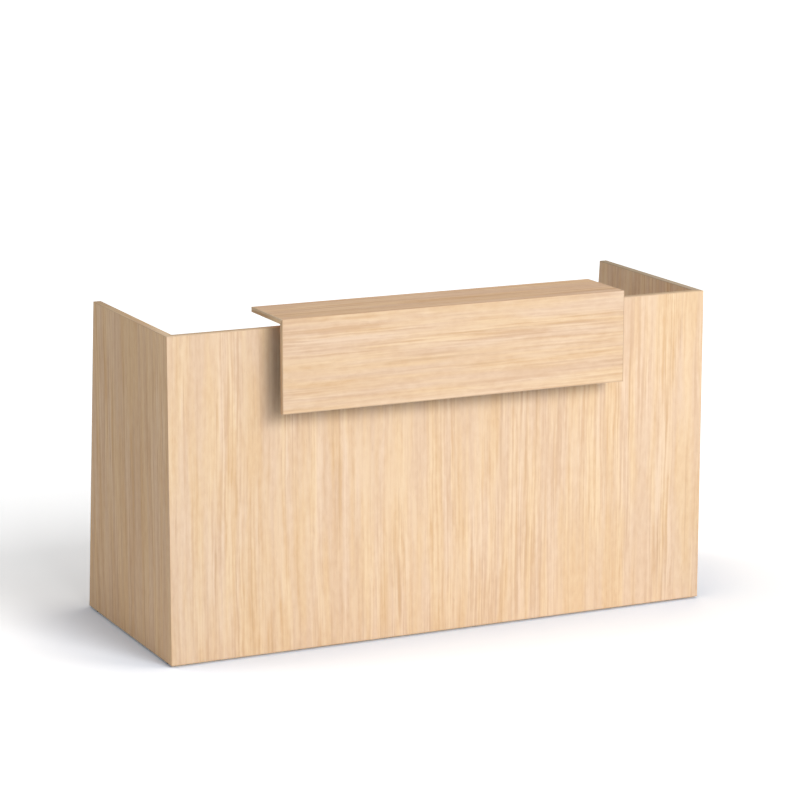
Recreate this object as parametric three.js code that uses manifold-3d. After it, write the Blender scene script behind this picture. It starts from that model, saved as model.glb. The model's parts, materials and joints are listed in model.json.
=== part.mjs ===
// Reception desk. A front panel mitred to two end panels stands round a worktop, and a raised
// visitor counter floats above the front panel on steel brackets. Every board has its edge bands,
// the end panels stand on levelling feet, and the worktop has two cable grommets and a steel rail.
// Millimetres, +Z up. The visitor's side faces -Y and the desk is as wide as it runs along X.
// The origin is on the floor, under the middle of the desk's outer box.

import * as THREE from 'three';
import { mergeVertices } from 'three/addons/utils/BufferGeometryUtils.js';
import Module from 'manifold-3d';

const wasm = await Module();
wasm.setup();

// Front panel and end panels
const deskWidth = 2000;
const deskHeight = 1112;
const endDepthBottom = 807;
const endDepthTop = 700;
const carcassBoard = 28;

// Worktop on the receptionist's side
const worktopHeight = 740;
const worktopBoard = 28;
const worktopSetback = 20;

// Steel tube under the worktop's free edge, with a slightly lower end plate welded to each end
const railHeight = 50;
const railDepth = 25;
const railWall = 2;
const railCorner = 3;
const railSetback = 60;
const railPlateWidth = 95;
const railPlateThickness = 4;
const railPlateInset = 3;
const railHoleEdge = 14;

// Visitor counter: a shelf and a fascia, mitred together along the front edge. The shelf is lifted
// clear of the front panel's top edge.
const counterLift = 24;
const counterWidth = 1268;
const counterDepth = 260;
const counterOverhang = 90;
const counterBoard = 18;
const fasciaHeight = 316;

// Edge bands, and the gaps that boards and fittings keep to each other
const bandThickness = 2;
const bandRadius = 1.5;
const glueLine = 0.3;
const boardFit = 0.3;

// Welded counter brackets: a leg inside the front panel, an arm under the shelf, a tab on the fascia
const bracketWidth = 40;
const bracketBar = 6;
const bracketBend = 4;
const bracketLeg = 140;
const bracketTab = 70;
const bracketArmSetback = 20;
const bracketInset = 150;
const bracketHoleEdge = 22;

// Pressed steel angles under the worktop and inside the corners
const angleLeg = 45;
const angleThickness = 2.5;
const angleBend = 2.5;
const angleLength = 60;
const angleHoleEdge = 14;
const angleHolePitch = 30;
const frontAngleInset = 260;
const endAngleInset = 150;
const railAngleGap = 15;
const cornerAngleInset = 130;

// Screw holes in the brackets, angles and end plates
const screwHole = 5.5;

// Levelling feet: an insert in the panel, a hexagon screw and a sole that the screw turns in
const footInsetFront = 57;
const footInsetRear = 68;
const soleDiameter = 20;
const soleFloor = 1.7;
const soleChamfer = 0.5;
const spigotDiameter = 7;
const spigotLength = 1.4;
const hexAcrossFlats = 13;
const hexThickness = 2.3;
const screwDiameter = 8;
const screwLength = 34;
const insertWall = 1.7;
const insertLength = 22;
const boreSpare = 4;
const footFit = 0.3;

// Cable grommets: a flanged liner in the worktop, a lid, and a cover that turns over the lid's slot
const grommetBore = 80;
const grommetInsetSide = 420;
const grommetInsetFront = 110;
const flangeWidth = 6;
const flangeHeight = 2.5;
const flangeChamfer = 0.8;
const linerWall = 2;
const linerDepth = 22;
const lipWidth = 2.7;
const lipHeight = 2;
const lipDrop = 6;
const lidWall = 2;
const lidFloor = 1.6;
const lidRim = 7;
const coverThickness = 1.5;
const hubDiameter = 13;
const pivotDiameter = 6;
const barbHeight = 1.2;
const barbWidth = 1;
const slotRim = 3;
const slotAngle = 140;
const coverLap = 5;
const ribWidth = 2.4;
const ribHeight = 1.2;
const ribMargin = 5;
const grommetFit = 0.3;

// Facets
const bendSteps = 3;
const holeSteps = 6;
const arcSteps = 24;
const footSides = 20;
const grommetSides = 48;

// Places that several pieces share
const halfWidth = deskWidth / 2;
const endInside = halfWidth - carcassBoard;
const endMiddle = halfWidth - carcassBoard / 2;
const mitreShift = glueLine / Math.SQRT2;
const bandDepth = bandThickness + glueLine;
const soleHeight = soleFloor + spigotLength;
const hexBottom = soleHeight + footFit;
const hexTop = hexBottom + hexThickness;
const panelBottom = hexTop + footFit;
const coreBottom = panelBottom + bandDepth;
const coreTop = deskHeight - bandDepth;
const rearLean = (endDepthBottom - endDepthTop) / (deskHeight - panelBottom);
const rearSlope = Math.atan(rearLean);
const shelfBottom = deskHeight + counterLift;
const counterHeight = shelfBottom + counterBoard;
const shelfRear = counterDepth - counterOverhang;
const fasciaBack = counterBoard - counterOverhang;
const fasciaBottom = counterHeight - fasciaHeight;
const worktopBottom = worktopHeight - worktopBoard;
const worktopRear = rearFaceAt(worktopHeight) - worktopSetback;
const railMiddle = worktopRear - railSetback;
const grommetRows = [-1, 1].map((side) => at(side * (endInside - grommetInsetSide),
  carcassBoard + grommetInsetFront, worktopHeight));

const X = at(1, 0, 0);
const Y = at(0, 1, 0);
const Z = at(0, 0, 1);

const oak = finish(0xeecfa8, 0.55, 0);
const oakBand = finish(0xdfbd92, 0.5, 0);
const paintedSteel = finish(0x8d9196, 0.45, 0.6);
const zincSteel = finish(0xb4b8bc, 0.35, 0.9);
const blackPlastic = finish(0x1b1b1d, 0.6, 0);
const greyPlastic = finish(0x9a9da1, 0.5, 0);

function at(x, y, z) {
  return new THREE.Vector3(x, y, z);
}

function opposite(direction) {
  return direction.clone().negate();
}

function finish(color, roughness, metalness) {
  return new THREE.MeshStandardMaterial({ color, roughness, metalness });
}

// The end panels' rear face leans forward: its depth behind the front face, at a height.
function rearFaceAt(height) {
  return endDepthBottom - (height - panelBottom) * rearLean;
}

// A closed outline through points [u, v, radius], with a corner rounded where a radius is given.
function outline(points) {
  const shape = new THREE.Shape();
  const corners = points.map(([u, v]) => new THREE.Vector2(u, v));
  points.forEach(([u, v, radius = 0], i) => {
    const corner = corners[i];
    const back = corners.at(i - 1).clone().sub(corner).normalize();
    const ahead = corners[(i + 1) % corners.length].clone().sub(corner).normalize();
    const reach = radius / Math.tan(Math.acos(back.dot(ahead)) / 2);
    const start = corner.clone().addScaledVector(back, reach);
    const end = corner.clone().addScaledVector(ahead, reach);
    if (i === 0) {
      shape.moveTo(start.x, start.y);
    } else {
      shape.lineTo(start.x, start.y);
    }
    if (radius > 0) {
      shape.quadraticCurveTo(u, v, end.x, end.y);
    }
  });
  shape.closePath();
  return shape;
}

// A shape laid with its axes along u and v, and extruded from the origin given along u x v.
function extruded(shape, length, u, v, origin, curveSegments = bendSteps) {
  const along = at(0, 0, 0).crossVectors(u, v);
  const geometry = new THREE.ExtrudeGeometry(shape, { depth: length, bevelEnabled: false, curveSegments });
  return geometry.applyMatrix4(new THREE.Matrix4().makeBasis(u, v, along).setPosition(origin));
}

// A solid of revolution about +Z through points [radius, height].
function turned(points, sides) {
  const geometry = new THREE.LatheGeometry(points.map(([r, z]) => new THREE.Vector2(r, z)), sides);
  return geometry.applyMatrix4(new THREE.Matrix4().makeBasis(X, Z, opposite(Y)));
}

// Cuts and joins work on closed meshes whose corners are shared and whose triangles have an area.
function solid(geometry) {
  const bare = geometry.clone();
  bare.deleteAttribute('normal');
  bare.deleteAttribute('uv');
  const welded = mergeVertices(bare);
  const index = welded.index.array;
  const triangles = [];
  for (let i = 0; i < index.length; i += 3) {
    const [a, b, c] = index.slice(i, i + 3);
    if (a !== b && b !== c && c !== a) {
      triangles.push(a, b, c);
    }
  }
  return new wasm.Manifold(new wasm.Mesh({
    numProp: 3,
    vertProperties: welded.attributes.position.array,
    triVerts: new Uint32Array(triangles),
  }));
}

function geometryOf(body) {
  const mesh = body.getMesh();
  const geometry = new THREE.BufferGeometry();
  geometry.setAttribute('position', new THREE.BufferAttribute(mesh.vertProperties, 3));
  geometry.setIndex(new THREE.BufferAttribute(mesh.triVerts, 1));
  return geometry;
}

function common(...geometries) {
  return geometryOf(geometries.map(solid).reduce((a, b) => a.intersect(b)));
}

function joined(...geometries) {
  return geometryOf(geometries.map(solid).reduce((a, b) => a.add(b)));
}

function cut(geometry, ...tools) {
  return geometryOf(tools.map(solid).reduce((a, b) => a.subtract(b), solid(geometry)));
}

// A drill of the screw holes' size, centred on a point, with its axis along u x v.
function drill(depth, u, v, middle) {
  const circle = new THREE.Shape();
  circle.absarc(0, 0, screwHole / 2, 0, 2 * Math.PI);
  const along = at(0, 0, 0).crossVectors(u, v);
  return extruded(circle, depth, u, v, middle.clone().addScaledVector(along, -depth / 2), holeSteps);
}

function place(group, name, geometry, material) {
  const mesh = new THREE.Mesh(geometry, material);
  mesh.name = name;
  group.add(mesh);
}

// A strip of edge band, flat inside and with both outer edges rounded. It starts at the middle of
// its inner face.
function bandStrip(width, length, outward, along, start) {
  const half = width / 2;
  const radius = Math.min(bandRadius, bandThickness);
  const profile = outline([
    [-half, 0],
    [half, 0],
    [half, bandThickness, radius],
    [-half, bandThickness, radius],
  ]);
  return extruded(profile, length, at(0, 0, 0).crossVectors(outward, along), outward, start);
}

// The front panel's plan is a long trapezium, because both of its ends are mitred.
function addFrontPanel(desk) {
  const plan = outline([
    [-halfWidth + mitreShift, 0],
    [halfWidth - mitreShift, 0],
    [endInside - mitreShift, carcassBoard],
    [-endInside + mitreShift, carcassBoard],
  ]);
  const envelope = extruded(plan, deskHeight, X, Y, at(0, 0, 0));
  const board = extruded(plan, coreTop - coreBottom, X, Y, at(0, 0, coreBottom));
  const middle = carcassBoard / 2;
  const topBand = bandStrip(carcassBoard, deskWidth, Z, X,
    at(-halfWidth, middle, deskHeight - bandThickness));
  const bottomBand = bandStrip(carcassBoard, deskWidth, opposite(Z), X,
    at(-halfWidth, middle, panelBottom + bandThickness));
  place(desk, 'front_panel', board, oak);
  place(desk, 'front_top_band', common(topBand, envelope), oakBand);
  place(desk, 'front_bottom_band', common(bottomBand, envelope), oakBand);
}

function footRows(side) {
  return [
    { row: 'front', spot: at(side * endMiddle, footInsetFront, 0) },
    { row: 'rear', spot: at(side * endMiddle, endDepthBottom - footInsetRear, 0) },
  ];
}

// An end panel is the crossing of a leaning side outline with a plan that is mitred at the front.
function addEndPanel(desk, side, hand) {
  const left = Math.min(side * halfWidth, side * endInside);
  const plan = outline([
    [side * halfWidth, mitreShift],
    [side * endInside, carcassBoard + mitreShift],
    [side * endInside, endDepthBottom],
    [side * halfWidth, endDepthBottom],
  ]);
  const sideView = (bottom, top, inset) => extruded(outline([
    [0, bottom],
    [rearFaceAt(bottom) - inset, bottom],
    [rearFaceAt(top) - inset, top],
    [0, top],
  ]), carcassBoard, Y, Z, at(left, 0, 0));
  const core = extruded(plan, coreTop - coreBottom, X, Y, at(0, 0, coreBottom));
  const upright = extruded(plan, deskHeight, X, Y, at(0, 0, 0));
  const envelope = common(upright, sideView(panelBottom, deskHeight, 0));
  const bores = footRows(side).map(({ spot }) => footBore().translate(spot.x, spot.y, 0));
  const board = common(core, sideView(coreBottom, coreTop, bandDepth / Math.cos(rearSlope)));

  const middle = side * endMiddle;
  const topStart = at(middle, 0, deskHeight - bandThickness);
  const bottomStart = at(middle, 0, panelBottom + bandThickness);
  const rearStart = at(middle, rearFaceAt(0) - bandThickness / Math.cos(rearSlope), 0);
  const rearOut = at(0, Math.cos(rearSlope), Math.sin(rearSlope));
  const rearUp = at(0, -Math.sin(rearSlope), Math.cos(rearSlope));
  const topBand = bandStrip(carcassBoard, endDepthBottom, Z, Y, topStart);
  const bottomBand = bandStrip(carcassBoard, endDepthBottom, opposite(Z), Y, bottomStart);
  const rearBand = bandStrip(carcassBoard, deskHeight / Math.cos(rearSlope), rearOut, rearUp, rearStart);

  place(desk, `${hand}_end_panel`, cut(board, ...bores), oak);
  place(desk, `${hand}_end_top_band`, common(topBand, envelope), oakBand);
  place(desk, `${hand}_end_bottom_band`, cut(common(bottomBand, envelope), ...bores), oakBand);
  place(desk, `${hand}_end_rear_band`, common(rearBand, core), oakBand);
}

// The worktop fills the bay between the panels and is bored for the grommets.
function addWorktop(desk) {
  const end = endInside - boardFit;
  const front = carcassBoard + boardFit;
  const rear = worktopRear - bandDepth;
  const plan = outline([
    [-end, front],
    [end, front],
    [end, rear],
    [-end, rear],
  ]);
  grommetRows.forEach((spot) => {
    const hole = new THREE.Path();
    hole.absarc(spot.x, spot.y, grommetBore / 2, 0, 2 * Math.PI);
    plan.holes.push(hole);
  });
  const band = bandStrip(worktopBoard, 2 * end, Y, X,
    at(-end, worktopRear - bandThickness, (worktopBottom + worktopHeight) / 2));
  place(desk, 'worktop', extruded(plan, worktopBoard, X, Y, at(0, 0, worktopBottom), arcSteps), oak);
  place(desk, 'worktop_rear_band', band, oakBand);
}

// The rail's tube ends half way into its end plates and stays open through them. The plates are
// screwed to the end panels.
function addWorktopRail(desk) {
  const end = endInside - boardFit;
  const top = worktopBottom - boardFit;
  const bottom = top - railHeight;
  const bar = (width, inset, corner, start, length) => extruded(outline([
    [railMiddle - width / 2, bottom + inset, corner],
    [railMiddle + width / 2, bottom + inset, corner],
    [railMiddle + width / 2, top - inset, corner],
    [railMiddle - width / 2, top - inset, corner],
  ]), length, Y, Z, at(start, 0, 0));
  const tubeEnd = end - railPlateThickness / 2;
  const tube = bar(railDepth, 0, railCorner, -tubeEnd, 2 * tubeEnd);
  const boreCorner = Math.max(railCorner - railWall, 0);
  const bore = bar(railDepth - 2 * railWall, railWall, boreCorner, -halfWidth, deskWidth);
  const plates = [-end, end - railPlateThickness].map((x) => (
    bar(railPlateWidth, railPlateInset, railCorner, x, railPlateThickness)));
  const holeReach = railPlateWidth / 2 - railHoleEdge;
  const drills = [-1, 1].flatMap((side) => [-holeReach, holeReach].map((reach) => (
    drill(2 * railPlateThickness, Y, Z,
      at(side * tubeEnd, railMiddle + reach, (bottom + top) / 2)))));
  place(desk, 'worktop_rail', cut(joined(tube, ...plates), bore, ...drills), paintedSteel);
}

// Shelf and fascia share a mitre along the counter's front edge, and their end bands follow it.
function addCounter(desk) {
  const end = counterWidth / 2;
  const coreEnd = end - bandDepth;
  const front = -counterOverhang;
  const shelfSection = (rear) => outline([
    [front + mitreShift, counterHeight],
    [fasciaBack + mitreShift, shelfBottom],
    [rear, shelfBottom],
    [rear, counterHeight],
  ]);
  const fasciaSection = (bottom) => outline([
    [front, bottom],
    [fasciaBack, bottom],
    [fasciaBack, shelfBottom - mitreShift],
    [front, counterHeight - mitreShift],
  ]);
  const lengthwise = (section, half) => extruded(section, 2 * half, Y, Z, at(-half, 0, 0));
  const shelfMiddle = (shelfBottom + counterHeight) / 2;
  const fasciaMiddle = (front + fasciaBack) / 2;

  place(desk, 'counter_shelf', lengthwise(shelfSection(shelfRear - bandDepth), coreEnd), oak);
  place(desk, 'counter_fascia', lengthwise(fasciaSection(fasciaBottom + bandDepth), coreEnd), oak);
  place(desk, 'shelf_rear_band', bandStrip(counterBoard, 2 * coreEnd, Y, X,
    at(-coreEnd, shelfRear - bandThickness, shelfMiddle)), oakBand);
  place(desk, 'fascia_bottom_band', bandStrip(counterBoard, 2 * coreEnd, opposite(Z), X,
    at(-coreEnd, fasciaMiddle, fasciaBottom + bandThickness)), oakBand);

  const shelfEnvelope = lengthwise(shelfSection(shelfRear), end);
  const fasciaEnvelope = lengthwise(fasciaSection(fasciaBottom), end);
  [[-1, 'left'], [1, 'right']].forEach(([side, hand]) => {
    const outward = at(side, 0, 0);
    const inner = side * (end - bandThickness);
    const shelfBand = bandStrip(counterBoard, counterDepth, outward, Y, at(inner, front, shelfMiddle));
    const fasciaBand = bandStrip(counterBoard, fasciaHeight, outward, Z,
      at(inner, fasciaMiddle, fasciaBottom));
    place(desk, `shelf_${hand}_band`, common(shelfBand, shelfEnvelope), oakBand);
    place(desk, `fascia_${hand}_band`, common(fasciaBand, fasciaEnvelope), oakBand);
  });
}

// One flat bar section, seen from the end of the desk: tab, arm and leg in one outline.
function addCounterBrackets(desk) {
  const tabFront = fasciaBack + boardFit;
  const tabBack = tabFront + bracketBar;
  const armTop = shelfBottom - boardFit;
  const armBottom = armTop - bracketBar;
  const armRear = shelfRear - bracketArmSetback;
  const tabBottom = armTop - bracketTab;
  const legFront = carcassBoard + boardFit;
  const legBack = legFront + bracketBar;
  const legBottom = deskHeight - bracketLeg;
  const section = outline([
    [tabFront, tabBottom],
    [tabBack, tabBottom],
    [tabBack, armBottom, bracketBend],
    [legFront, armBottom, bracketBend],
    [legFront, legBottom],
    [legBack, legBottom],
    [legBack, armBottom, bracketBend],
    [armRear, armBottom],
    [armRear, armTop],
    [tabFront, armTop, bracketBend + bracketBar],
  ]);
  const blank = extruded(section, bracketWidth, Y, Z, at(-bracketWidth / 2, 0, 0));
  const level = (y, z) => drill(2 * bracketBar, Z, X, at(0, y, z));
  const upright = (y) => drill(2 * bracketBar, X, Y, at(0, y, (armBottom + armTop) / 2));
  const drilled = cut(blank,
    level((tabFront + tabBack) / 2, tabBottom + bracketHoleEdge),
    level((legFront + legBack) / 2, legBottom + bracketHoleEdge),
    level((legFront + legBack) / 2, deskHeight - bracketHoleEdge),
    upright(tabBack + bracketHoleEdge),
    upright(legBack + bracketHoleEdge),
    upright(armRear - bracketHoleEdge));
  const outer = counterWidth / 2 - bracketInset;
  [['left', -outer], ['middle', 0], ['right', outer]].forEach(([hand, x]) => {
    place(desk, `counter_bracket_${hand}`, drilled.clone().translate(x, 0, 0), paintedSteel);
  });
}

// A pressed angle whose legs run along X and Y from its outer corner, with two screw holes in each.
function pressedAngle() {
  const bendOutside = angleBend + angleThickness;
  const section = outline([
    [0, 0, bendOutside],
    [angleLeg, 0],
    [angleLeg, angleThickness],
    [angleThickness, angleThickness, angleBend],
    [angleThickness, angleLeg],
    [0, angleLeg],
  ]);
  const blank = extruded(section, angleLength, X, Y, at(0, 0, -angleLength / 2));
  const reach = angleLeg - angleHoleEdge;
  const middle = angleThickness / 2;
  const drills = [-angleHolePitch / 2, angleHolePitch / 2].flatMap((z) => [
    drill(2 * angleThickness, Z, X, at(reach, middle, z)),
    drill(2 * angleThickness, Y, Z, at(middle, reach, z)),
  ]);
  return cut(blank, ...drills);
}

function addAngles(desk) {
  const angle = pressedAngle();
  const addAngle = (name, u, v, corner) => {
    const along = at(0, 0, 0).crossVectors(u, v);
    const turn = new THREE.Matrix4().makeBasis(u, v, along).setPosition(corner);
    place(desk, name, angle.clone().applyMatrix4(turn), zincSteel);
  };
  const down = opposite(Z);
  const underside = worktopBottom - boardFit;
  const frontFace = carcassBoard + boardFit;
  const endFace = endInside - boardFit;
  const frontOuter = endInside - frontAngleInset;
  [['left', -frontOuter], ['middle', 0], ['right', frontOuter]].forEach(([hand, x]) => {
    addAngle(`worktop_angle_front_${hand}`, Y, down, at(x, frontFace, underside));
  });
  const railFront = railMiddle - railPlateWidth / 2;
  const endSpots = [['front', carcassBoard + endAngleInset],
    ['rear', railFront - railAngleGap - angleLength / 2]];
  const belowWorktop = (coreBottom + worktopBottom) / 2;
  const cornerSpots = [['low', coreBottom + cornerAngleInset], ['middle', belowWorktop],
    ['high', coreTop - cornerAngleInset]];
  [[-1, 'left'], [1, 'right']].forEach(([side, hand]) => {
    const inward = at(-side, 0, 0);
    endSpots.forEach(([row, y]) => {
      addAngle(`worktop_angle_${hand}_${row}`, inward, down, at(side * endFace, y, underside));
    });
    cornerSpots.forEach(([level, z]) => {
      addAngle(`corner_angle_${hand}_${level}`, inward, Y, at(side * endFace, frontFace, z));
    });
  });
}

// The bore that an insert sits in, open at the panel's bottom edge and deep enough for the screw.
function footBore() {
  const radius = screwDiameter / 2 + footFit + insertWall + footFit;
  const depth = screwLength + boreSpare;
  return turned([[0, 0], [radius, 0], [radius, panelBottom + depth], [0, panelBottom + depth]], footSides);
}

function addFeet(desk, side, hand) {
  const bore = screwDiameter / 2 + footFit;
  const insertTop = panelBottom + insertLength;
  const insert = turned([
    [bore, panelBottom],
    [bore + insertWall, panelBottom],
    [bore + insertWall, insertTop],
    [bore, insertTop],
    [bore, panelBottom],
  ], footSides);

  const shank = screwDiameter / 2;
  const spigot = spigotDiameter / 2;
  const spigotBottom = hexBottom - spigotLength;
  const stem = turned([
    [0, spigotBottom],
    [spigot, spigotBottom],
    [spigot, hexBottom],
    [shank, hexTop],
    [shank, panelBottom + screwLength],
    [0, panelBottom + screwLength],
  ], footSides);
  const hexagon = new THREE.CylinderGeometry(hexAcrossFlats / Math.sqrt(3), hexAcrossFlats / Math.sqrt(3),
    hexThickness, 6);
  hexagon.rotateX(Math.PI / 2).translate(0, 0, (hexBottom + hexTop) / 2);

  const rim = soleDiameter / 2;
  const pocket = spigot + footFit;
  const sole = turned([
    [0, 0],
    [rim - soleChamfer, 0],
    [rim, soleChamfer],
    [rim, soleHeight - soleChamfer],
    [rim - soleChamfer, soleHeight],
    [pocket, soleHeight],
    [pocket, soleFloor],
    [0, soleFloor],
  ], footSides);

  footRows(side).forEach(({ row, spot }) => {
    const foot = new THREE.Group();
    foot.position.copy(spot);
    place(foot, `foot_insert_${hand}_${row}`, insert, zincSteel);
    place(foot, `foot_screw_${hand}_${row}`, joined(stem, hexagon), zincSteel);
    place(foot, `foot_sole_${hand}_${row}`, sole, blackPlastic);
    desk.add(foot);
  });
}

// Heights in a grommet are measured from the worktop's top face.
function addGrommets(desk) {
  const linerOutside = grommetBore / 2 - grommetFit;
  const linerInside = linerOutside - linerWall;
  const flangeOutside = grommetBore / 2 + flangeWidth;
  const lipInside = linerInside - lipWidth;
  const lipTop = flangeHeight - lipDrop;
  const lipBottom = lipTop - lipHeight;
  const liner = turned([
    [linerInside, -linerDepth],
    [linerOutside, -linerDepth],
    [linerOutside, grommetFit],
    [flangeOutside, grommetFit],
    [flangeOutside, flangeHeight - flangeChamfer],
    [flangeOutside - flangeChamfer, flangeHeight],
    [linerInside, flangeHeight],
    [linerInside, lipTop],
    [lipInside, lipTop],
    [lipInside, lipBottom],
    [linerInside, lipBottom - lipWidth],
    [linerInside, -linerDepth],
  ], grommetSides);

  const lidOutside = linerInside - grommetFit;
  const lidBottom = lipTop + grommetFit;
  const recess = lidOutside - lidRim;
  const coverTop = flangeHeight;
  const coverBottom = coverTop - coverThickness;
  const recessFloor = coverBottom - grommetFit;
  const floorBottom = recessFloor - lidFloor;
  const pivotHole = pivotDiameter / 2 + grommetFit;
  const skirtInside = lidOutside - lidWall;
  const lidBody = turned([
    [skirtInside, lidBottom],
    [lidOutside, lidBottom],
    [lidOutside, flangeHeight],
    [recess, flangeHeight],
    [recess, recessFloor],
    [pivotHole, recessFloor],
    [pivotHole, floorBottom],
    [skirtInside, floorBottom],
    [skirtInside, lidBottom],
  ], grommetSides);

  const hub = hubDiameter / 2;
  const coverOutside = recess - grommetFit;
  const halfSlot = THREE.MathUtils.degToRad(slotAngle / 2);
  const halfCover = halfSlot + THREE.MathUtils.degToRad(coverLap);
  const slotMiddle = -Math.PI / 2;
  const slotShape = new THREE.Shape();
  slotShape.absarc(0, 0, coverOutside - slotRim, slotMiddle - halfSlot, slotMiddle + halfSlot, false);
  slotShape.absarc(0, 0, hub, slotMiddle + halfSlot, slotMiddle - halfSlot, true);
  slotShape.closePath();
  const slot = extruded(slotShape, 2 * (recessFloor - floorBottom), X, Y,
    at(0, 0, floorBottom - (recessFloor - floorBottom) / 2), arcSteps);

  const coverMiddle = Math.PI / 2;
  const leafShape = new THREE.Shape();
  leafShape.absarc(0, 0, coverOutside, coverMiddle - halfCover, coverMiddle + halfCover, false);
  leafShape.lineTo(0, 0);
  leafShape.closePath();
  const leaf = extruded(leafShape, coverThickness, X, Y, at(0, 0, coverBottom), arcSteps);
  const pivot = pivotDiameter / 2;
  const barbTop = floorBottom - grommetFit;
  const pin = turned([
    [0, barbTop - barbHeight],
    [pivot, barbTop - barbHeight],
    [pivotHole + barbWidth, barbTop],
    [pivot, barbTop],
    [pivot, coverBottom],
    [hub - grommetFit, coverBottom],
    [hub - grommetFit, coverTop],
    [0, coverTop],
  ], grommetSides / 2);
  const rib = extruded(outline([
    [-ribWidth / 2, hub + ribMargin],
    [ribWidth / 2, hub + ribMargin],
    [ribWidth / 2, coverOutside - ribMargin],
    [-ribWidth / 2, coverOutside - ribMargin],
  ]), coverThickness + ribHeight, X, Y, at(0, 0, coverBottom));

  ['left', 'right'].forEach((hand, i) => {
    const grommet = new THREE.Group();
    grommet.position.copy(grommetRows[i]);
    place(grommet, `grommet_liner_${hand}`, liner, greyPlastic);
    place(grommet, `grommet_lid_${hand}`, cut(lidBody, slot), greyPlastic);
    place(grommet, `grommet_cover_${hand}`, joined(leaf, pin, rib), greyPlastic);
    desk.add(grommet);
  });
}

const desk = new THREE.Group();
desk.position.y = (counterOverhang - endDepthBottom) / 2;
addFrontPanel(desk);
[[-1, 'left'], [1, 'right']].forEach(([side, hand]) => {
  addEndPanel(desk, side, hand);
  addFeet(desk, side, hand);
});
addWorktop(desk);
addWorktopRail(desk);
addCounter(desk);
addCounterBrackets(desk);
addAngles(desk);
addGrommets(desk);

export default desk;
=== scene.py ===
import json
import math

import bmesh
import bpy
from mathutils import Matrix, Vector


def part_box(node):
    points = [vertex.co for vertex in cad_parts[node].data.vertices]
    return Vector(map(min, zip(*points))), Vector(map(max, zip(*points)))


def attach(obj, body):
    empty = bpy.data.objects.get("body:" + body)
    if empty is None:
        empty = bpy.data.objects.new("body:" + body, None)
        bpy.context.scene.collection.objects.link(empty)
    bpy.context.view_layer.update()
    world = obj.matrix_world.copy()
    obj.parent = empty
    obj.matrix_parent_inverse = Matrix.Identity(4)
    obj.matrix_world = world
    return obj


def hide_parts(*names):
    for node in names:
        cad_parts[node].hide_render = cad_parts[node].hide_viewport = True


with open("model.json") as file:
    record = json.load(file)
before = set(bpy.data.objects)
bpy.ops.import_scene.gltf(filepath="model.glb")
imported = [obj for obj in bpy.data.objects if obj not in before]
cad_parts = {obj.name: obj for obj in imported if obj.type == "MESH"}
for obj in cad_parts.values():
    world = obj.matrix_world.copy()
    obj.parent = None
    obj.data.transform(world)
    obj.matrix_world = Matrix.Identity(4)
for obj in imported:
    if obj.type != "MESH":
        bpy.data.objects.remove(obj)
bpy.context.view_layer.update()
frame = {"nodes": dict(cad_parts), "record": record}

# Looks of the reception desk: light oak board, steel and plastic fittings, their screws, and a
# plain studio. Metres, in the desk's own frame: +X to the right, -Y towards the visitor, +Z up.
nodes = frame["nodes"]
X, Y, Z = Vector((1, 0, 0)), Vector((0, 1, 0)), Vector((0, 0, 1))
HANDS = ("left", "right")
ROWS = ("front", "rear")
LEVELS = ("low", "middle", "high")
PLACES = ("left", "middle", "right")

# Boards: the way their grain runs, and where on the endless print each is cut from
BOARD_GRAIN = {
    "front_panel": "Z",
    "left_end_panel": "Z",
    "right_end_panel": "Z",
    "worktop": "X",
    "counter_shelf": "X",
    "counter_fascia": "X",
}
PRINT_STARTS = {
    "front_panel": Vector((3.45, -37.84, 2.25)),
    "left_end_panel": Vector((1.41, -11.55, -37.68)),
    "counter_shelf": Vector((-2.72, -1.29, -33.13)),
    "counter_fascia": Vector((15.24, 1.24, 9.41)),
}
PRINT_STEP = Vector((1.37, 2.11, 0.73))

# Oak print. Each layer has its cycles per metre across and along the grain, and its finer octaves.
PRINT_LAYERS = {
    "sway": (2.2, 0.9, 1),
    "ripple": (13, 9, 1),
    "bands": (15, 0.8, 3),
    "streaks": (60, 1.8, 2),
    "groups": (11, 0.9, 2),
    "lines": (130, 3.0, 1),
    "flecks": (70, 28, 2),
    "pores": (1300, 26, 1),
    "hue": (24, 1.6, 2),
    "wisps": (34, 3.4, 2),
}
NOISE_MIDDLE = 0.5
PRINT_SHIFTS = {"sway": 0.030, "ripple": 0.005}
PRINT_TONE = {"bands": 0.25, "streaks": 0.16, "lines": 0.39, "flecks": 0.20}
PRINT_CONTRAST = (0.385, 0.615)
LINE_GROUPS = (0.38, 0.62)
LINE_STRENGTHS = (0.2, 1.8)
HUE_SPREAD = (0.40, 0.60)
WARM_OAK = ((236, 199, 157), (253, 225, 189))
PALE_OAK = ((233, 199, 166), (251, 224, 196))
OAK_ROUGHNESS = (0.62, 0.54)
OAK_GLOSS = 0.0
OAK_RELIEF = (0.2, 0.0001)

# Marks over the print: the layer, the values between which it starts and is full, share and colour
PRINT_MARKS = (
    ("wisps", 0.57, 0.70, 0.65, (251, 223, 190)),
    ("streaks", 0.40, 0.28, 0.50, (224, 187, 149)),
    ("pores", 0.36, 0.22, 0.35, (198, 160, 122)),
)

# Shade of the print on boards and bands, and painted light and shade on those that differ from their
# kind
OAK_SHADES = {"board_oak": (1.0, 1.0, 1.0), "edge_band": (0.93, 0.93, 0.93)}
SHELF_BAND_PAINTED_LIGHT = (0.99, 1.02, 1.05)
# Painted light and shade: a board or band tinted lighter, darker or paler for the light on its face
PAINTED_LIGHT_SHADES = {
    "left_end_panel": (1.0, 0.985, 0.965),
    "counter_shelf": (1.0, 0.97, 0.955),
    "counter_fascia": (0.99, 0.985, 0.985),
    "front_top_band": (1.0, 1.0, 1.0),
    "right_end_top_band": (0.86, 0.88, 0.90),
    "shelf_left_band": SHELF_BAND_PAINTED_LIGHT,
    "shelf_right_band": SHELF_BAND_PAINTED_LIGHT,
    "shelf_rear_band": SHELF_BAND_PAINTED_LIGHT,
}
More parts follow.
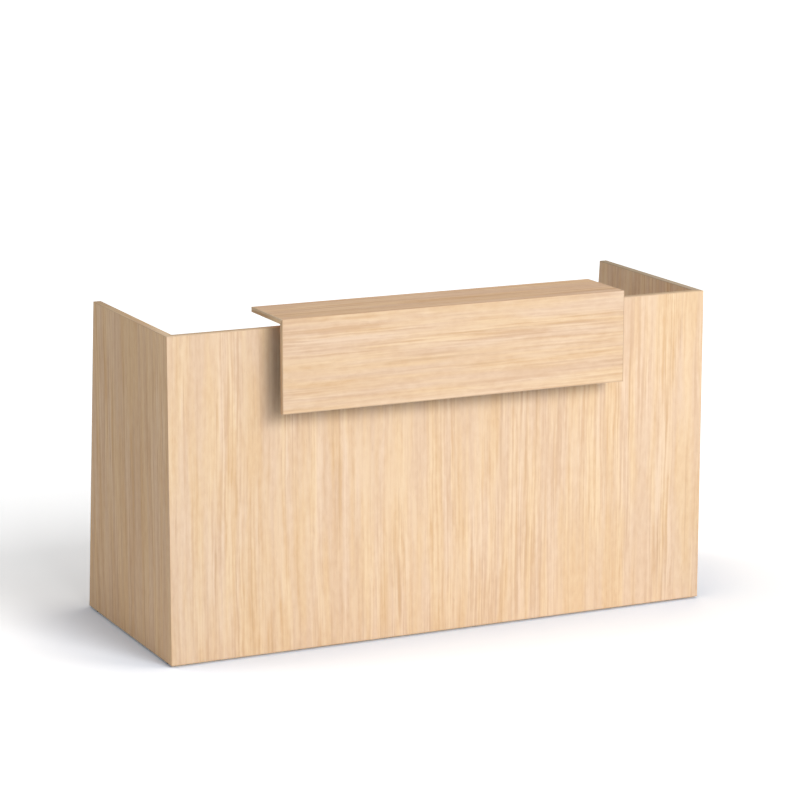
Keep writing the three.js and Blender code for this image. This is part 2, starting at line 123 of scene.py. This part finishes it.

# Painted shade: a grey sheet on the hidden back of the fascia, which darkens the gap behind it and the
# shadow beside it
SHADE_SHEET_BOARD = "counter_fascia"
SHADE_SHEET_GREYS = ((140, 140, 139), (156, 155, 153))
SHADE_SHEET_REACH = 0.00005

# Steel and plastic. Colours run from dark to light, relief is its strength and depth, and the
# other sizes are cycles per metre.
CLOUD_SPREAD = (0.35, 0.65)
GLOSS_SPREAD = (0.3, 0.7)
FINE_OCTAVES = 2
CLOUD_OCTAVES = 3
POWDER_GREYS = ((132, 136, 141), (151, 154, 158))
POWDER_PEEL = 900
POWDER_CLOUD = 14
POWDER_ROUGHNESS = (0.38, 0.5)
POWDER_METAL = 0.35
POWDER_RELIEF = (0.3, 0.0001)
ZINC_GREYS = ((176, 181, 187), (203, 207, 211))
ZINC_MARKS = 1500
SCREW_GREYS = ((158, 161, 166), (186, 189, 193))
SCREW_MARKS = 2200
PLATE_BLOTCH = 70
PLATE_ROUGHNESS = (0.26, 0.42)
PLATE_RELIEF = (0.12, 0.00008)
SOLE_BLACKS = ((24, 24, 26), (34, 34, 36))
SOLE_ROUGHNESS = (0.54, 0.66)
GROMMET_GREYS = ((146, 149, 153), (160, 163, 167))
GROMMET_ROUGHNESS = (0.42, 0.54)
PLASTIC_GRAIN = 2600
PLASTIC_CLOUD = 40
PLASTIC_RELIEF = (0.35, 0.00008)

# Softened edges
BOARD_EDGE = 0.0003
METAL_EDGE = 0.0004
PLASTIC_EDGE = 0.0003
EDGE_ANGLE = math.radians(32)
EDGE_SEGMENTS = 2
WELD_DISTANCE = 0.00001

# Screws of the angles, brackets and rail. The dome and the recess have shares of the head's
# radius and height, and of the recess's radius and depth.
HEAD_RADIUS = 0.0047
HEAD_HEIGHT = 0.0026
HEAD_DOME = ((1.00, 0.00), (1.00, 0.30), (0.94, 0.58), (0.80, 0.80), (0.62, 0.93))
SHANK_RADIUS = 0.0025
LOBE_RADIUS = 0.0019
LOBE_WAVE = 0.13
LOBE_COUNT = 6
LOBE_DEPTH = 0.0016
LOBE_STEPS = ((1.06, 0.00), (1.00, 0.08), (0.97, 1.00), (0.30, 1.10))
SCREW_SIDES = 36
ANGLE_LEG = 0.045
ANGLE_THICKNESS = 0.0025
ANGLE_HOLE_EDGE = 0.014
ANGLE_HOLE_PITCH = 0.030
BRACKET_BAR = 0.006
BRACKET_TAB = 0.070
BRACKET_LEG = 0.140
BRACKET_HOLE_EDGE = 0.022
RAIL_PLATE = 0.004
RAIL_HOLE_EDGE = 0.014
BOARD_FIT = 0.0003

# Levelling screws
THREAD_PITCH = 0.00125
THREAD_DEPTH = 0.00068
THREAD_STEPS = 8
THREAD_RADIUS = 0.004
THREAD_LEAD = 0.0012
THREAD_CREST = 1.25
SPIGOT_RADIUS = 0.0035
SPIGOT_LENGTH = 0.0014
HEX_FLATS = 0.013
HEX_THICKNESS = 0.0023
HEX_CHAMFER = 0.0004
HEX_SECTOR = math.pi / 3
HEX_SIDES = 48

# Studio. The floor has one colour for the light and one for the eye, and close round the desk,
# where it sees half of the sky, its seen colour falls to the contact tint, a painted shadow.
CAMERA_PLACE = (-4.4744, -9.5172, 3.0093)
CAMERA_TURN = math.radians(-25.08)
CAMERA_TILT = math.radians(-12.07)
CAMERA_LENS = 140.84
CAMERA_REACH = 400
FLOOR_SIZE = 300
FLOOR_COLOUR = 0.8
FLOOR_SEEN = 1.74
CONTACT_REACH = 0.6
CONTACT_SAMPLES = 4
CONTACT_SKY = 0.5
PAINTED_CONTACT_SHADOW = (0.45, 0.53, 0.65)
WHITE = (1, 1, 1, 1)
WORLD_LEVEL = 0.20

# Lamps: turn to the visitor's right, height and width in degrees, and strength
LAMPS = (
    ("key_wide", 12, 20, 40, 0.356),
    ("key_main", 20, 27, 24, 0.276),
    ("side", 56, 27, 24, 0.094),
    ("top", 38, 80, 24, 0.105),
    ("rear", -120, 35, 30, 0.148),
)


def srgb(red, green, blue):
    """A colour from its 0 to 255 values, as a shader takes it."""
    def linear(value):
        share = value / 255
        return share / 12.92 if share <= 0.04045 else ((share + 0.055) / 1.055) ** 2.4
    return (linear(red), linear(green), linear(blue), 1)


class Nodes:
    """A node tree, with short ways to add to it."""

    def __init__(self, tree):
        self.tree = tree

    def feed(self, socket, value):
        if isinstance(value, bpy.types.NodeSocket):
            self.tree.links.new(value, socket)
        else:
            socket.default_value = value

    def add(self, kind, inputs, **settings):
        node = self.tree.nodes.new(kind)
        for key, value in settings.items():
            setattr(node, key, value)
        for key, value in inputs.items():
            self.feed(node.inputs[key], value)
        return node

    def math(self, operation, a, b):
        return self.add("ShaderNodeMath", {0: a, 1: b}, operation=operation).outputs[0]

    def vector(self, operation, a, b):
        return self.add("ShaderNodeVectorMath", {0: a, 1: b}, operation=operation).outputs[0]

    def mix(self, factor, a, b):
        node = self.add("ShaderNodeMix", {}, data_type="RGBA")
        for index, value in ((0, factor), (6, a), (7, b)):
            self.feed(node.inputs[index], value)
        return node.outputs[2]

    def spread(self, value, low, high, start=0.0, end=1.0):
        inputs = {"Value": value, "From Min": low, "From Max": high, "To Min": start, "To Max": end}
        return self.add("ShaderNodeMapRange", inputs).outputs["Result"]

    def noise(self, coords, scale, octaves, output="Fac"):
        mapped = self.add("ShaderNodeMapping", {"Vector": coords, "Scale": scale}).outputs[0]
        inputs = {"Vector": mapped, "Scale": 1.0, "Detail": octaves}
        return self.add("ShaderNodeTexNoise", inputs).outputs[output]

    def places(self, offset=(0, 0, 0)):
        coords = self.add("ShaderNodeTexCoord", {}).outputs["Object"]
        return self.add("ShaderNodeMapping", {"Vector": coords, "Location": offset}).outputs[0]


class Shader(Nodes):
    """A material's nodes round its one surface shader."""

    def __init__(self, name):
        self.material = bpy.data.materials.new(name)
        self.material.use_nodes = True
        super().__init__(self.material.node_tree)
        self.surface = self.tree.nodes["Principled BSDF"]

    def set(self, **values):
        for key, value in values.items():
            self.feed(self.surface.inputs[key.replace("_", " ")], value)

    def bump(self, height, strength, distance):
        inputs = {"Height": height, "Strength": strength, "Distance": distance}
        self.set(Normal=self.add("ShaderNodeBump", inputs).outputs[0])


def grain_scale(axis, across, along):
    """Cycles per metre along each axis, for a grain that runs along one of them."""
    return tuple(along if name == axis else across for name in "XYZ")


def even_scale(cycles):
    """The same cycles per metre along each axis."""
    return (cycles, cycles, cycles)


def print_layers(shader, axis, offset):
    """The oak print's layers of noise, on places that waver across the grain."""
    coords = shader.places(offset)

    def layer(key, output="Fac"):
        across, along, octaves = PRINT_LAYERS[key]
        return shader.noise(coords, grain_scale(axis, across, along), octaves, output)

    for key, reach in PRINT_SHIFTS.items():
        centred = shader.vector("SUBTRACT", layer(key, "Color"), (NOISE_MIDDLE,) * 3)
        coords = shader.vector("ADD", coords, shader.vector("MULTIPLY", centred, (reach,) * 3))
    layers = {key: layer(key) for key in PRINT_LAYERS if key not in PRINT_SHIFTS}
    strength = shader.spread(layers["groups"], *LINE_GROUPS, *LINE_STRENGTHS)
    faded = shader.math("MULTIPLY", shader.math("SUBTRACT", layers["lines"], NOISE_MIDDLE), strength)
    layers["lines"] = shader.math("ADD", faded, NOISE_MIDDLE)
    return layers


def oak(name, axis, offset, shade, back=None):
    """Light oak print: bands, streaks, fine lines and pores along the grain, with a drift of hue.

    The faces at the depth given as back have a grey sheet instead: painted shade, which darkens the
    shaded gap behind the fascia.
    """
    shader = Shader(name)
    layers = print_layers(shader, axis, offset)

    def shaded(colour):
        return srgb(*(share * value for share, value in zip(shade, colour)))

    tone = 0.0
    for key, weight in PRINT_TONE.items():
        tone = shader.math("ADD", tone, shader.math("MULTIPLY", layers[key], weight))
    reach = shader.spread(tone, *PRINT_CONTRAST)
    warm, pale = (shader.mix(reach, *map(shaded, ends)) for ends in (WARM_OAK, PALE_OAK))
    colour = shader.mix(shader.spread(layers["hue"], *HUE_SPREAD), warm, pale)
    for key, start, full, share, tint in PRINT_MARKS:
        colour = shader.mix(shader.spread(layers[key], start, full, 0.0, share), colour, shaded(tint))
    # painted shade: the hidden faces at that depth turn to the grey sheet
    if back is not None:
        depth = shader.add("ShaderNodeSeparateXYZ", {0: shader.places()}).outputs["Y"]
        sheet = shader.mix(layers["flecks"], *(srgb(*grey) for grey in SHADE_SHEET_GREYS))
        colour = shader.mix(shader.math("GREATER_THAN", depth, back - SHADE_SHEET_REACH), colour, sheet)
    shader.set(
        Base_Color=colour,
        Roughness=shader.spread(layers["lines"], *GLOSS_SPREAD, *OAK_ROUGHNESS),
        Specular_IOR_Level=OAK_GLOSS,
    )
    shader.bump(shader.math("ADD", layers["pores"], layers["lines"]), *OAK_RELIEF)
    return shader.material


def powder_coat():
    """Silver-grey powder coat, with the faint peel of a sprayed and baked finish."""
    shader = Shader("powder_coat")
    coords = shader.places()
    peel = shader.noise(coords, even_scale(POWDER_PEEL), FINE_OCTAVES)
    cloud = shader.noise(coords, even_scale(POWDER_CLOUD), CLOUD_OCTAVES)
    tint = shader.math("MULTIPLY", shader.math("ADD", peel, cloud), 0.5)
    dark, light = (srgb(*grey) for grey in POWDER_GREYS)
    shader.set(
        Base_Color=shader.mix(shader.spread(tint, *CLOUD_SPREAD), dark, light),
        Roughness=shader.spread(peel, *GLOSS_SPREAD, *POWDER_ROUGHNESS),
        Metallic=POWDER_METAL,
    )
    shader.bump(peel, *POWDER_RELIEF)
    return shader.material


def plated_steel(name, greys, marks):
    """Zinc-plated steel: blotched plating under fine rolling marks."""
    shader = Shader(name)
    coords = shader.places()
    blotch = shader.noise(coords, even_scale(PLATE_BLOTCH), CLOUD_OCTAVES)
    dark, light = (srgb(*grey) for grey in greys)
    shader.set(
        Base_Color=shader.mix(shader.spread(blotch, *CLOUD_SPREAD), dark, light),
        Roughness=shader.spread(blotch, *GLOSS_SPREAD, *PLATE_ROUGHNESS),
        Metallic=1.0,
    )
    shader.bump(shader.noise(coords, even_scale(marks), FINE_OCTAVES), *PLATE_RELIEF)
    return shader.material


def moulded_plastic(name, colours, roughness):
    """Moulded plastic with a fine spark-eroded grain."""
    shader = Shader(name)
    coords = shader.places()
    grain = shader.noise(coords, even_scale(PLASTIC_GRAIN), FINE_OCTAVES)
    cloud = shader.noise(coords, even_scale(PLASTIC_CLOUD), CLOUD_OCTAVES)
    dark, light = (srgb(*colour) for colour in colours)
    shader.set(
        Base_Color=shader.mix(shader.spread(cloud, *CLOUD_SPREAD), dark, light),
        Roughness=shader.spread(grain, *GLOSS_SPREAD, *roughness),
    )
    shader.bump(grain, *PLASTIC_RELIEF)
    return shader.material


def smooth_by_angle():
    """A modifier's node tree for smooth shading that breaks at sharp edges."""
    tree = bpy.data.node_groups.new("smooth_by_angle", "GeometryNodeTree")
    tree.interface.new_socket("Geometry", in_out="INPUT", socket_type="NodeSocketGeometry")
    tree.interface.new_socket("Geometry", in_out="OUTPUT", socket_type="NodeSocketGeometry")
    start = tree.nodes.new("NodeGroupInput")
    end = tree.nodes.new("NodeGroupOutput")
    angle = tree.nodes.new("GeometryNodeInputMeshEdgeAngle")
    sharp = tree.nodes.new("FunctionNodeCompare")
    sharp.operation = "GREATER_THAN"
    sharp.inputs[1].default_value = EDGE_ANGLE
    normals = tree.nodes.new("GeometryNodeSetMeshNormal")
    normals.mode = "SHARPNESS"
    normals.inputs["Remove Custom"].default_value = True
    normals.inputs["Face Sharpness"].default_value = False
    tree.links.new(angle.outputs["Unsigned Angle"], sharp.inputs[0])
    tree.links.new(sharp.outputs[0], normals.inputs["Edge Sharpness"])
    tree.links.new(start.outputs[0], normals.inputs["Mesh"])
    tree.links.new(normals.outputs[0], end.inputs[0])
    return tree


def soften(piece, width, shading):
    """Rounds a CAD piece's edges by modifiers alone, so that its mesh stays as it is."""
    weld = piece.modifiers.new("weld", "WELD")
    weld.merge_threshold = WELD_DISTANCE
    bevel = piece.modifiers.new("edges", "BEVEL")
    bevel.width = width
    bevel.segments = EDGE_SEGMENTS
    bevel.limit_method = "ANGLE"
    bevel.angle_limit = EDGE_ANGLE
    piece.modifiers.new("shading", "NODES").node_group = shading


def longest_axis(node):
    low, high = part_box(node)
    size = high - low
    return "XYZ"[list(size).index(max(size))]


def board_oak(node, slot, index):
    """The oak of one board or band, along its grain and from its own place on the print."""
    grain = BOARD_GRAIN.get(node) or longest_axis(node)
    start = PRINT_STARTS.get(node, PRINT_STEP * index)
    # the kind's own shade, or painted light and shade for the listed nodes
    shade = PAINTED_LIGHT_SHADES.get(node, OAK_SHADES[slot])
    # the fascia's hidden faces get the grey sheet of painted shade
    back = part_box(node)[1].y if node == SHADE_SHEET_BOARD else None
    return oak("oak_" + node, grain, start, shade, back)


def dress_cad(shading):
    """Finishes and softened edges for all CAD pieces but the screws, which are made anew."""
    finishes = {
        "bracket_steel": (powder_coat(), METAL_EDGE),
        "zinc_steel": (plated_steel("zinc_plate", ZINC_GREYS, ZINC_MARKS), METAL_EDGE),
        "sole_plastic": (moulded_plastic("sole_plastic", SOLE_BLACKS, SOLE_ROUGHNESS), PLASTIC_EDGE),
        "grommet_plastic": (
            moulded_plastic("grommet_plastic", GROMMET_GREYS, GROMMET_ROUGHNESS),
            PLASTIC_EDGE,
        ),
    }
    for index, row in enumerate(frame["record"]["subparts"]):
        node, slot = row["node"], row["material_slot"]
        if slot == "screw_steel":
            continue
        if slot in OAK_SHADES:
            material, edge = board_oak(node, slot, index), BOARD_EDGE
        else:
            material, edge = finishes[slot]
        piece = nodes[node]
        piece.data.materials.clear()
        piece.data.materials.append(material)
        soften(piece, edge, shading)


def stack(mesh, rings, place):
    """A closed skin over rings of points from bottom to top, each ring as a list of points."""
    rows = [[mesh.verts.new(place @ point) for point in ring] for ring in rings]
    for low, high in zip(rows, rows[1:]):
        count = len(low)
        for i in range(count):
            j = (i + 1) % count
            mesh.faces.new((low[i], low[j], high[j], high[i]))
    mesh.faces.new(reversed(rows[0]))
    mesh.faces.new(rows[-1])


def ring(sides, radius, height):
    """Points round the Z axis. The radius is a number, or a function of the angle."""
    points = []
    for i in range(sides):
        angle = 2 * math.pi * i / sides
        reach = radius(angle) if callable(radius) else radius
        points.append(Vector((reach * math.cos(angle), reach * math.sin(angle), height)))
    return points


def finish_piece(name, mesh, material, body, shading):
    """A new steel piece that rides on a body."""
    data = bpy.data.meshes.new(name)
    mesh.to_mesh(data)
    mesh.free()
    data.materials.append(material)
    piece = bpy.data.objects.new(name, data)
    bpy.context.scene.collection.objects.link(piece)
    piece.modifiers.new("shading", "NODES").node_group = shading
    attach(piece, body)
    return piece


def facing(axis, spot):
    """The place of a piece whose own +Z points along an axis, at a spot."""
    return Matrix.Translation(spot) @ axis.to_track_quat("Z", "Y").to_matrix().to_4x4()


def pan_screw():
    """Rings of a pan head on a short shank, with a six-lobe recess. The seat is at height zero."""
    def lobe(scale):
        return lambda angle: scale * LOBE_RADIUS * (1 + LOBE_WAVE * math.cos(LOBE_COUNT * angle))
    shank = [ring(SCREW_SIDES, SHANK_RADIUS, height) for height in (-ANGLE_THICKNESS, 0)]
    dome = [ring(SCREW_SIDES, HEAD_RADIUS * reach, HEAD_HEIGHT * rise) for reach, rise in HEAD_DOME]
    recess = [
        ring(SCREW_SIDES, lobe(scale), HEAD_HEIGHT - LOBE_DEPTH * drop) for scale, drop in LOBE_STEPS
    ]
    return shank + dome + recess


def corner_of(node, u, v):
    """An angle's outer corner, at the middle of its length, from the ways that its legs point."""
    low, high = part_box(node)
    corner = (low + high) / 2
    for leg in (u, v):
        for i in range(3):
            if leg[i]:
                corner[i] = low[i] if leg[i] > 0 else high[i]
    return corner


def angle_screws():
    """Two screws in each leg of every pressed angle."""
    angles = [(f"worktop_angle_front_{place}", Y, -Z) for place in PLACES]
    for hand, inward in zip(HANDS, (X, -X)):
        angles += [(f"worktop_angle_{hand}_{row}", inward, -Z) for row in ROWS]
        angles += [(f"corner_angle_{hand}_{level}", inward, Y) for level in LEVELS]
    spots = []
    for node, u, v in angles:
        corner = corner_of(node, u, v)
        for side in (-0.5, 0.5):
            along = u.cross(v) * side * ANGLE_HOLE_PITCH
            for leg, out in ((u, v), (v, u)):
                spot = corner + along + leg * (ANGLE_LEG - ANGLE_HOLE_EDGE) + out * ANGLE_THICKNESS
                spots.append(facing(out, spot))
    return spots


def bracket_screws():
    """Screws in each counter bracket: two in the leg, one in the tab and three in the arm."""
    leg_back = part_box("front_panel")[1].y + BOARD_FIT + BRACKET_BAR
    desk_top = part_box("front_top_band")[1].z
    spots = []
    for place in PLACES:
        low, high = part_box(f"counter_bracket_{place}")
        x = (low.x + high.x) / 2
        tab_back = low.y + BRACKET_BAR
        arm_bottom = high.z - BRACKET_BAR
        for z in (desk_top - BRACKET_LEG + BRACKET_HOLE_EDGE, desk_top - BRACKET_HOLE_EDGE):
            spots.append(facing(Y, Vector((x, leg_back, z))))
        spots.append(facing(Y, Vector((x, tab_back, high.z - BRACKET_TAB + BRACKET_HOLE_EDGE))))
        for start, way in ((tab_back, 1), (leg_back, 1), (high.y, -1)):
            spots.append(facing(-Z, Vector((x, start + way * BRACKET_HOLE_EDGE, arm_bottom))))
    return spots


def rail_screws():
    """Two screws in each end plate of the worktop's rail."""
    low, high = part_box("worktop_rail")
    middle = (low + high) / 2
    reach = (high.y - low.y) / 2 - RAIL_HOLE_EDGE
    spots = []
    for x, out in ((low.x + RAIL_PLATE, X), (high.x - RAIL_PLATE, -X)):
        for shift in (-reach, reach):
            spots.append(facing(out, Vector((x, middle.y + shift, middle.z))))
    return spots


def add_screws(material, shading):
    groups = {
        "angle_screws": angle_screws(),
        "bracket_screws": bracket_screws(),
        "rail_screws": rail_screws(),
    }
    for name, spots in groups.items():
        mesh = bmesh.new()
        for place in spots:
            stack(mesh, pan_screw(), place)
        finish_piece(name, mesh, material, "carcass", shading)


def hexagon(angle):
    """The radius of the screw's hexagon at an angle, with two flats square to X."""
    return HEX_FLATS / 2 / math.cos((angle + HEX_SECTOR / 2) % HEX_SECTOR - HEX_SECTOR / 2)


def chamfered(angle):
    """The radius of the hexagon's chamfered ends, a circle that touches the flats."""
    return min(hexagon(angle), HEX_FLATS / 2)


def thread(height, top):
    """The radius of a right-hand thread at a height, by angle, fading out at its upper end."""
    def radius(angle):
        turn = (height / THREAD_PITCH - angle / (2 * math.pi)) % 1
        crest = min(1.0, THREAD_CREST * abs(2 * turn - 1))
        lead = max(0.0, min(1.0, (top - height) / THREAD_LEAD))
        return THREAD_RADIUS - THREAD_DEPTH * (1 - crest * lead)
    return radius


def levelling_screw(bottom, top):
    """Rings of a levelling screw: spigot, chamfered hexagon and thread."""
    hex_bottom = bottom + SPIGOT_LENGTH
    hex_top = hex_bottom + HEX_THICKNESS
    profile = [
        (SPIGOT_RADIUS - HEX_CHAMFER / 2, bottom),
        (SPIGOT_RADIUS, bottom + HEX_CHAMFER / 2),
        (SPIGOT_RADIUS, hex_bottom),
        (chamfered, hex_bottom),
        (hexagon, hex_bottom + HEX_CHAMFER),
        (hexagon, hex_top - HEX_CHAMFER),
        (chamfered, hex_top),
        (THREAD_RADIUS - THREAD_DEPTH, hex_top),
    ]
    step = THREAD_PITCH / THREAD_STEPS
    for i in range(1, int((top - hex_top) / step) + 1):
        height = hex_top + i * step
        profile.append((thread(height, top), height))
    return [ring(HEX_SIDES, radius, height) for radius, height in profile]


def add_levelling_screws(material, shading):
    for hand in HANDS:
        for row in ROWS:
            node = f"foot_screw_{hand}_{row}"
            low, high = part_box(node)
            middle = (low + high) / 2
            mesh = bmesh.new()
            stack(mesh, levelling_screw(low.z, high.z), Matrix.Translation((middle.x, middle.y, 0)))
            name, body = f"levelling_screw_{hand}_{row}", f"screw_{hand}_{row}"
            piece = finish_piece(name, mesh, material, body, shading)
            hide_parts(node)


def seen_directly(tree):
    """One for what the camera sees, straight or in a mirror or glass, and zero for the light itself."""
    path = tree.add("ShaderNodeLightPath", {}).outputs
    mirrored = tree.math("MAXIMUM", path["Is Glossy Ray"], path["Is Transmission Ray"])
    return tree.math("MAXIMUM", path["Is Camera Ray"], mirrored)


def floor_material():
    """Pale to the light and white to the eye, with painted shadow close round the desk but not right
    under it.
    """
    shader = Shader("studio_floor")
    openness = {"Distance": CONTACT_REACH}
    sky = shader.add("ShaderNodeAmbientOcclusion", openness, samples=CONTACT_SAMPLES).outputs["AO"]
    under = shader.math("SUBTRACT", 1.0, shader.math("DIVIDE", sky, CONTACT_SKY))
    clear = shader.spread(shader.math("MAXIMUM", sky, under), CONTACT_SKY, 1.0)
    # painted contact shadow: the seen colour close round the desk
    contact = tuple(FLOOR_SEEN * share for share in PAINTED_CONTACT_SHADOW)
    seen = shader.mix(clear, (*contact, 1), (FLOOR_SEEN, FLOOR_SEEN, FLOOR_SEEN, 1))
    lit = (FLOOR_COLOUR, FLOOR_COLOUR, FLOOR_COLOUR, 1)
    colour = shader.mix(seen_directly(shader), lit, seen)
    diffuse = shader.add("ShaderNodeBsdfDiffuse", {"Color": colour}).outputs[0]
    shader.feed(shader.tree.nodes["Material Output"].inputs["Surface"], diffuse)
    shader.tree.nodes.remove(shader.surface)
    return shader.material


def add_floor():
    bpy.ops.mesh.primitive_plane_add(size=FLOOR_SIZE)
    floor = bpy.context.object
    floor.name = "floor"
    floor.data.materials.append(floor_material())


def add_world():
    """A pale sky that lights the desk softly and looks white."""
    world = bpy.data.worlds.new("studio")
    world.use_nodes = True
    tree = Nodes(world.node_tree)
    background = world.node_tree.nodes["Background"].inputs
    tree.feed(background["Color"], WHITE)
    tree.feed(background["Strength"], tree.spread(seen_directly(tree), 0.0, 1.0, WORLD_LEVEL, 1.0))
    bpy.context.scene.world = world


def add_lamps():
    """Soft lamps a long way off."""
    for name, turn, height, width, strength in LAMPS:
        lamp = bpy.data.lights.new(name, "SUN")
        lamp.energy = strength * math.pi
        lamp.angle = math.radians(width)
        holder = bpy.data.objects.new(name, lamp)
        holder.rotation_euler = (math.radians(90 - height), 0, math.radians(turn))
        bpy.context.scene.collection.objects.link(holder)


def add_camera():
    """The photograph's camera."""
    data = bpy.data.cameras.new("camera")
    data.lens = CAMERA_LENS
    data.clip_end = CAMERA_REACH
    camera = bpy.data.objects.new("camera", data)
    camera.location = CAMERA_PLACE
    camera.rotation_euler = (math.pi / 2 + CAMERA_TILT, 0, CAMERA_TURN)
    bpy.context.scene.collection.objects.link(camera)
    bpy.context.scene.camera = camera


add_camera()
add_floor()
add_world()
add_lamps()
shading = smooth_by_angle()
dress_cad(shading)
screw_steel = plated_steel("screw_steel", SCREW_GREYS, SCREW_MARKS)
add_screws(screw_steel, shading)
add_levelling_screws(screw_steel, shading)
bpy.context.scene.view_settings.view_transform = "Standard"
